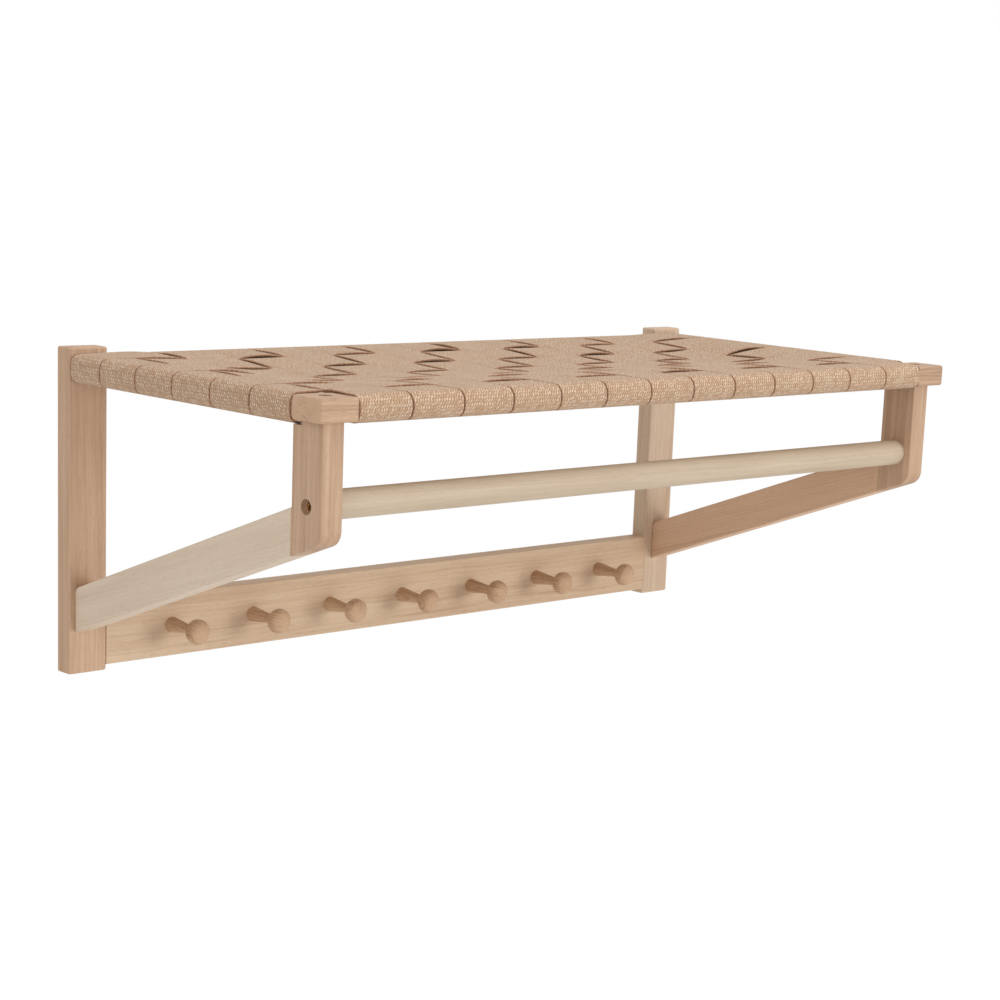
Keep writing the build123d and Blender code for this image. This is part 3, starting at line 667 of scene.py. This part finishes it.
def woven_lift(along, side, edges, on_top, rails, facing, slack, chance, curl=(CURL, CURL)):
    """Height against a plain deck at each place along the strap and across it, side from -1 to 1.
    `rails` are the rails' outer and inner edges, `facing` is the side with a rail beside it, or 0,
    `slack` is each crossing's looseness, and `curl` the lift of the two edges."""
    low_outer, low_inner, high_inner, high_outer = rails
    levels = [1.0, *[1.0 if over else -1.0 for over in on_top], 1.0]
    middles = [edge + STEP_SHIFT * math.copysign(1, after - before)
               for edge, before, after in zip(edges, levels, levels[1:])]
    middles[0] = low_inner + STEP / 2
    middles[-1] = high_inner - STEP / 2
    level = np.ones_like(along)
    for middle, before, after in zip(middles, levels, levels[1:]):
        level = level + (after - before) * smooth((along - middle) / STEP + 0.5)
    lift = OVER_UNDER * (level - 1.0)[:, None] + np.zeros_like(side)[None, :]
    edge_shape = (np.abs(side) ** 4)[None, :]
    curled = np.where(side < 0, curl[0], curl[1])[None, :] * edge_shape
    rail_shape = (np.clip(facing * side, 0.0, 1.0) ** 3)[None, :]
    for low, high, over, loose in zip(edges, edges[1:], on_top, slack):
        uneven = loose * chance.uniform(*CELL_UNEVEN)
        tilt = CELL_TILT * chance.uniform(-1.0, 1.0) * side[None, :]
        if over:
            shape = uneven * (CROWN + curled) + RAIL_LIFT * rail_shape
        else:
            shape = -uneven * (DIP + DROOP * edge_shape)
        lift = lift + hump(along, low, high) * (shape + tilt)
    ends = ((low_outer, low_inner, edges[1], on_top[0]),
            (-high_outer, -high_inner, -edges[-2], on_top[-1]))
    for way, (outer, inner, far, over) in zip((1, -1), ends):
        raised = RAIL_LIFT * rail_shape
        if over:
            raised = raised + RAIL_CURL * edge_shape
        lift = lift + rail_hump(way * along, outer, inner, far) * raised
    return lift


def strap_section(width):
    """Round a strap's section: places across, shares of half the thickness, 1 on a yarn and -1
    between two, and the yarn columns counted from one edge."""
    points = 2 * STRAP_COLUMNS + 1
    across = np.linspace(-width / 2 + SELVEDGE, width / 2 - SELVEDGE, points)
    out = np.ones(points)
    out[0] = out[-1] = SELVEDGE_SHARE
    crest = np.where(np.arange(points) % 2 == 1, 1.0, -1.0)
    crest[0] = crest[-1] = 0.0
    counted = np.arange(points) / 2
    return (
        np.concatenate([across, [width / 2], across[::-1], [-width / 2]]),
        np.concatenate([out, [0.0], -out, [0.0]]),
        np.concatenate([crest, [0.0], crest, [0.0]]),
        np.concatenate([counted, [STRAP_COLUMNS], counted[::-1], [0.0]]),
    )


def strap_points(line, length, width, place, lift, chance):
    """A strap's points, one ring of its section after another, two rings to a stitch row. `place`
    turns (along, height, across) into points, and `lift` gives the height that the weave adds."""
    across, out, crest, _ = strap_section(width)
    rings, around = len(line), len(across)
    tangent = np.gradient(line, axis=0)
    tangent /= np.linalg.norm(tangent, axis=1)[:, None]
    normal = np.stack([-tangent[:, 1], tangent[:, 0]], 1)
    row_centre = np.where(np.arange(rings) % 2 == 1, 1.0, -1.0)
    row_edge_swing = np.where(np.arange(rings) % 4 == 0, 1.0, -1.0) * (row_centre < 0)
    uneven = chance.uniform(*YARN_UNEVEN, (rings, around))
    relief = RELIEF * uneven * crest[None, :]
    rise = out[None, :] * THICKNESS / 2 + np.sign(out)[None, :] * relief
    yarns = np.where(crest != 0, 1.0, 0.0)
    swing = np.outer(row_edge_swing, yarns) * ZIGZAG * width / STRAP_COLUMNS
    bead = np.where(out == 0, np.sign(across), 0.0)[None, :] * BEAD * row_centre[:, None]
    drift = slow_noise(np.linspace(0, length, rings), chance, WANDER)
    sideways = across[None, :] + swing + bead + drift[:, None]
    along = line[:, 0][:, None] + normal[:, 0][:, None] * rise
    height = line[:, 1][:, None] + normal[:, 1][:, None] * rise
    height = height + lift(line[:, 0], line[:, 1], across, chance)
    return place(along, height, sideways).reshape(-1, 3)


def strap_faces(rings, around):
    """Corner numbers of the quads along a strap, and of the quads and triangles of its two ends.
    Known fault: each end's last quad names one corner twice and the first triangle overlaps it, so
    a gap of 1.3 by 0.4 mm is left at one corner of each end."""
    ring, step = np.meshgrid(np.arange(rings - 1), np.arange(around), indexing="ij")
    after = (step + 1) % around
    walls = np.stack([
        ring * around + step, ring * around + after,
        (ring + 1) * around + after, (ring + 1) * around + step,
    ], -1).reshape(-1, 4)
    half = around // 2
    outer = np.arange(half - 1)
    inner = around - 2 - outer
    caps = []
    for start, way in ((0, -1), ((rings - 1) * around, 1)):
        quads = np.stack([outer, outer + 1, inner - 1, inner], 1) + start
        thirds = np.array([[half - 1, half, half + 1], [0, around - 2, around - 1]]) + start
        caps.append((quads[:, ::way], thirds[:, ::way]))
    return walls, caps


def make_strap(name, line, length, width, place, lift, chance, number, material):
    """A strap's mesh with two UV maps: `weave` counts yarn columns and stitch rows, and `OFBake`
    is the flat layout for baked pictures."""
    points = strap_points(line, length, width, place, lift, chance)
    counted = strap_section(width)[3]
    rings, around = len(line), len(counted)
    walls, caps = strap_faces(rings, around)
    quads = np.concatenate([walls, caps[0][0], caps[1][0]])
    thirds = np.concatenate([caps[0][1], caps[1][1]])
    corners = np.concatenate([quads.ravel(), thirds.ravel()])
    sizes = np.concatenate([np.full(len(quads), 4), np.full(len(thirds), 3)])
    starts = np.concatenate([[0], np.cumsum(sizes)[:-1]])
    mesh = bpy.data.meshes.new(name)
    mesh.vertices.add(len(points))
    mesh.vertices.foreach_set("co", points.astype(np.float32).ravel())
    mesh.loops.add(len(corners))
    mesh.loops.foreach_set("vertex_index", corners.astype(np.int32))
    mesh.polygons.add(len(sizes))
    mesh.polygons.foreach_set("loop_start", starts.astype(np.int32))
    mesh.polygons.foreach_set("use_smooth", np.ones(len(sizes), bool))
    mesh.update(calc_edges=True)

    columns_and_rows = [counted[corners % around], corners // around / 2 + UV_STAGGER * number]
    add_uv_map(mesh, "weave", np.stack(columns_and_rows, 1))
    add_uv_map(mesh, "OFBake", bake_layout(length, width, rings, around, caps))
    mesh.materials.append(material)
    strap = bpy.data.objects.new(name, mesh)
    bpy.context.scene.collection.objects.link(strap)
    return strap


def add_uv_map(mesh, name, places):
    mesh.uv_layers.new(name=name).data.foreach_set("uv", places.astype(np.float32).ravel())


BAKE_MARGIN = 0.012               # as shares of the baked picture's side
CAP_BAND = 0.05
CAP_WIDTH = 0.42
UV_STAGGER = 40.0                 # rows from one strap's weave to the next, so that they differ


def bake_layout(length, width, rings, around, caps):
    """The strap's skin cut into strips side by side in the unit square, with its two ends above."""
    ring, step = np.meshgrid(np.arange(rings - 1), np.arange(around), indexing="ij")
    girth = 2 * (width + THICKNESS)
    strips = max(1, round(math.sqrt(length / girth)))
    per_strip = math.ceil((rings - 1) / strips)
    strip = ring // per_strip
    first = strip * per_strip
    tall = (1 - CAP_BAND) / strips
    scale_x = (1 - 2 * BAKE_MARGIN) / per_strip
    scale_y = (tall - 2 * BAKE_MARGIN) / around
    x0 = BAKE_MARGIN + (ring - first) * scale_x
    y0 = BAKE_MARGIN + strip * tall + step * scale_y
    walls = np.stack([
        np.stack([x0, y0], -1), np.stack([x0, y0 + scale_y], -1),
        np.stack([x0 + scale_x, y0 + scale_y], -1), np.stack([x0 + scale_x, y0], -1),
    ], 2).reshape(-1, 2)
    half = around // 2
    spots = np.zeros((around, 2))
    index = np.arange(around)
    outer = index < half
    spots[:, 0] = np.where(outer, index, around - 2 - index) / half
    spots[:, 1] = np.where(outer, 1.0, 0.0)
    spots[half] = ((half - 0.5) / half, 0.5)
    spots[around - 1] = (-0.5 / half, 0.5)
    placed = []
    for number in range(2):
        base = np.array([BAKE_MARGIN * 2 + 0.5 * number, 1 - CAP_BAND + BAKE_MARGIN])
        placed.append(base + spots * np.array([CAP_WIDTH, CAP_BAND - 2 * BAKE_MARGIN]))
    quads = [placed[n][caps[n][0].ravel() % around] for n in range(2)]
    thirds = [placed[n][caps[n][1].ravel() % around] for n in range(2)]
    return np.concatenate([walls, *quads, *thirds])


def strap_edges(family, count, axis):
    """Borders of the cells that the straps of a family make, taken midway between neighbours."""
    boxes = [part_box(family.format(number)) for number in range(1, count + 1)]
    lows = [low[axis] for low, high in boxes]
    highs = [high[axis] for low, high in boxes]
    gap = lows[1] - highs[0]
    return [lows[0] - gap / 2, *[(a + b) / 2 for a, b in zip(highs, lows[1:])], highs[-1] + gap / 2]


def on_deck(height, rail_top):
    """1 on the shelf's top, 0 under the rails and on their faces, for points on the middle line."""
    return (height > rail_top + THICKNESS / 4).astype(float)


def make_long_strap(row, line, length, columns, slack, material):
    node = f"long_strap_{row}"
    low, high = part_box(node)
    width = high.y - low.y + 2 * SPREAD
    centre = (low.y + high.y) / 2
    on_top = [(row + column) % 2 == 1 for column in range(1, CROSS_STRAPS + 1)]
    facing = {1: -1, LONG_STRAPS: 1}.get(row, 0)
    rails = (SIDE_NOSE - side_high.x, -side_low.x, side_low.x, side_high.x - SIDE_NOSE)

    def place(along, height, across):
        return np.stack([along, centre + across, height], -1)

    def lift(along, height, across, chance):
        loose = [slack[row - 1]] * CROSS_STRAPS
        lifted = woven_lift(along, 2 * across / width, columns, on_top, rails, facing, loose, chance,
                            (FRONT_CURL, CURL))
        drop = deck_drop(along[:, None], centre + across[None, :]) - SIDE_DROP
        return (lifted - drop) * on_deck(height, side_high.z)[:, None]

    strap = make_strap(f"woven_{node}", line, length, width, place, lift,
                       np.random.RandomState(40 + row), row, material)
    declare(strap, node)


def make_cross_strap(column, line, length, rows, slack, material):
    node = f"cross_strap_{column:02d}"
    low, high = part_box(node)
    width = high.x - low.x + 2 * SPREAD
    centre = (low.x + high.x) / 2
    on_top = [(row + column) % 2 == 0 for row in range(1, LONG_STRAPS + 1)]
    facing = {1: -1, CROSS_STRAPS: 1}.get(column, 0)
    rails = (front_low.y + FRONT_NOSE, front_high.y, back_low.y, back_high.y - BACK_NOSE)

    def place(along, height, across):
        forward = smooth((back_low.y - along) / (back_low.y - front_low.y))
        return np.stack([(centre + across) * (1 + SPLAY * forward), along, height], -1)

    def lift(along, height, across, chance):
        lifted = woven_lift(along, 2 * across / width, rows, on_top, rails, facing, slack, chance)
        away = smooth((along - rails[1]) / RAIL_LEAVE) * smooth((rails[2] - along) / RAIL_LEAVE)
        drop = deck_drop(centre + across[None, :], along[:, None])
        drop = (drop - BACK_DROP * reach_of(along)[:, None]) * away[:, None]
        return (lifted - drop) * on_deck(height, back_high.z)[:, None]

    strap = make_strap(f"woven_{node}", line, length, width, place, lift,
                       np.random.RandomState(80 + column), 10 + column, material)
    declare(strap, node)


def weave_shelf():
    material = webbing()
    columns = strap_edges("cross_strap_{:02d}", CROSS_STRAPS, 0)
    rows = strap_edges("long_strap_{}", LONG_STRAPS, 1)
    slack = [1.0 + BACK_SLACK * n / (LONG_STRAPS - 1) for n in range(LONG_STRAPS)]
    side = (side_low.z, side_high.z, SIDE_NOSE, INNER_EASE)
    long_line, long_length = resample(strap_path(
        (-side_high.x, -side_low.x, *side), (side_high.x, side_low.x, *side),
    ), ROW / 2)
    cross_line, cross_length = resample(strap_path(
        (front_low.y, front_high.y, front_low.z, front_high.z, FRONT_NOSE, INNER_EASE),
        (back_high.y, back_low.y, back_low.z, back_high.z, BACK_NOSE, BACK_NOSE),
    ), ROW / 2)
    for row in range(1, LONG_STRAPS + 1):
        make_long_strap(row, long_line, long_length, columns, slack, material)
    for column in range(1, CROSS_STRAPS + 1):
        make_cross_strap(column, cross_line, cross_length, rows, slack, material)


def declare(strap, node):
    """Hides the imported part that a strap stands in for, and hangs the strap on the root body."""
    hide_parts(node)
    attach(strap, "root")


# ---- studio ------------------------------------------------------------------------------------

FLOOR_DEPTH = 1.5                 # metres below the rack
FLOOR_RADIUS = 5.0
FLOOR_CORNERS = 96
WORLD_LEVEL = 0.55
WORLD_TINT = (1.0, 0.95, 0.90, 1.0)
FLOOR_GLOW = 0.50                 # as the camera sees the floor
FLOOR_BOUNCE = 0.14               # as the rack sees it
RACK_MIDDLE = Vector((0, -0.18, -0.09))
SOFTBOXES = (                     # name, direction from the rack, distance, side, level
    ("key_softbox", (0.36, -0.92, 0.12), 5.0, 2.0, 0.335),
    ("left_softbox", (-1.0, -0.35, 0.35), 2.8, 1.8, 0.17),
    ("top_softbox", (0.1, -0.25, 1.0), 2.6, 2.0, 0.44),
)


def add_world():
    world = bpy.data.worlds.new("studio_world")
    bpy.context.scene.world = world
    world.use_nodes = True
    g = Graph(world.node_tree)
    world.node_tree.nodes.clear()
    rays = g.node("ShaderNodeLightPath").outputs
    seen = g.math("MAXIMUM", rays["Is Camera Ray"], rays["Is Glossy Ray"])
    seen = g.math("MAXIMUM", seen, rays["Is Transmission Ray"])
    fill = g.node("ShaderNodeBackground", {"Color": WORLD_TINT, "Strength": WORLD_LEVEL})
    white = g.node("ShaderNodeBackground", {"Color": (1, 1, 1, 1), "Strength": 1.0})
    both = g.node("ShaderNodeMixShader", {0: seen, 1: fill.outputs[0], 2: white.outputs[0]})
    g.node("ShaderNodeOutputWorld", {"Surface": both.outputs[0]})


def add_floor():
    """Round pale floor well below the rack, clear when seen from underneath."""
    mesh = bpy.data.meshes.new("studio_floor")
    height = cad_box[0][2] - FLOOR_DEPTH
    turns = [2 * math.pi * n / FLOOR_CORNERS for n in range(FLOOR_CORNERS)]
    ring = [(FLOOR_RADIUS * math.cos(a), FLOOR_RADIUS * math.sin(a), height) for a in turns]
    mesh.from_pydata(ring, [], [list(range(FLOOR_CORNERS))])
    floor = bpy.data.objects.new("studio_floor", mesh)
    bpy.context.scene.collection.objects.link(floor)
    material, g, shader = material_with("studio_floor_paint")
    tree = material.node_tree
    place = g.node("ShaderNodeTexCoord").outputs["Object"]
    paint = g.mix(g.noise(place, 9.0, 3.0), (0.86, 0.86, 0.86, 1), (0.9, 0.9, 0.9, 1))
    g.feed(shader, "Base Color", paint)
    shader.inputs["Roughness"].default_value = 0.9
    rays = g.node("ShaderNodeLightPath").outputs
    seen = g.math("MULTIPLY_ADD", rays["Is Camera Ray"], FLOOR_GLOW - FLOOR_BOUNCE, FLOOR_BOUNCE)
    glow = g.node("ShaderNodeEmission", {"Color": (1, 1, 1, 1), "Strength": seen})
    lit = g.node("ShaderNodeAddShader", {0: shader.outputs[0], 1: glow.outputs[0]})
    clear = g.node("ShaderNodeBsdfTransparent")
    back = g.math("MULTIPLY", g.node("ShaderNodeNewGeometry").outputs["Backfacing"],
                  rays["Is Camera Ray"])
    final = g.node("ShaderNodeMixShader", {0: back, 1: lit.outputs[0], 2: clear.outputs[0]})
    g.feed(tree.nodes["Material Output"], "Surface", final.outputs[0])
    mesh.materials.append(material)


def add_softboxes():
    """Square soft lights aimed at the rack. Level 1 shows a surface that faces one as it is."""
    for name, towards, distance, size, level in SOFTBOXES:
        data = bpy.data.lights.new(name, "AREA")
        data.shape = "SQUARE"
        data.size = size
        data.energy = level * math.pi ** 2 * distance ** 2
        lamp = bpy.data.objects.new(name, data)
        away = Vector(towards).normalized()
        lamp.matrix_world = (
            Matrix.Translation(RACK_MIDDLE + away * distance)
            @ away.to_track_quat("Z", "Y").to_matrix().to_4x4()
        )
        bpy.context.scene.collection.objects.link(lamp)


# ---- build -------------------------------------------------------------------------------------

add_camera()
add_world()
add_floor()
add_softboxes()
dress_wood()
dress_metal()
weave_shelf()
bpy.context.scene.view_settings.view_transform = "Standard"
